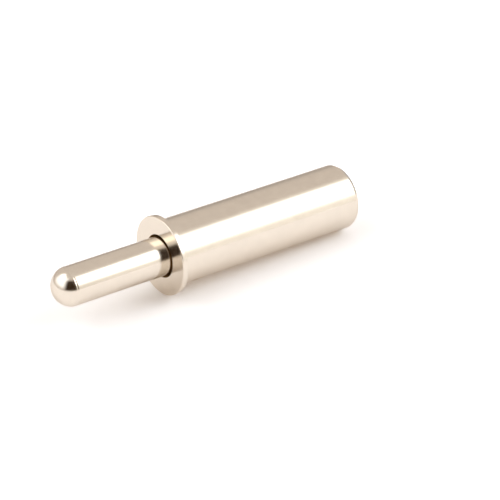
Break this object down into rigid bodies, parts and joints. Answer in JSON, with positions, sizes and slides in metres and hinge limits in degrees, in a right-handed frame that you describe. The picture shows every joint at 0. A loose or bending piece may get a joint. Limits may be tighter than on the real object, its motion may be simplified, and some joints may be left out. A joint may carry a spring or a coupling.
{
  "type": "spring-loaded guide pin",
  "caption": "Flanged press-in sleeve with a sprung, ball-nosed plunger that locates a hole and gives way when pushed.",
  "frame": {"origin": "on the pin's axis, in the plane of the flange's underside, which seats on the plate", "axes": "+Z along the pin's axis, out of the sleeve's mouth and towards the nose; X and Y are any two directions across it, because the pin is round"},
  "size_m": [0.0096, 0.0096, 0.0411],
  "materials": {
    "plated_sleeve": "bright nickel plating on turned brass",
    "plated_plunger": "bright nickel plating on ground steel",
    "spring_wire": "drawn spring steel wire",
    "plated_plug": "nickel plating on turned brass"
  },
  "bodies": {
    "housing": {"sleeve": "plated_sleeve", "end_plug": "plated_plug", "spring": "spring_wire"},
    "nose": {"plunger": "plated_plunger"}
  },
  "joints": [
    {"name": "plunger_slide", "type": "slide", "parent": "housing", "child": "nose", "axis": [0, 0, -1], "range_m": [0, 0.008], "stiffness_N_per_m": 1100, "springref_m": -0.004, "deforming": ["spring"]}
  ]
}
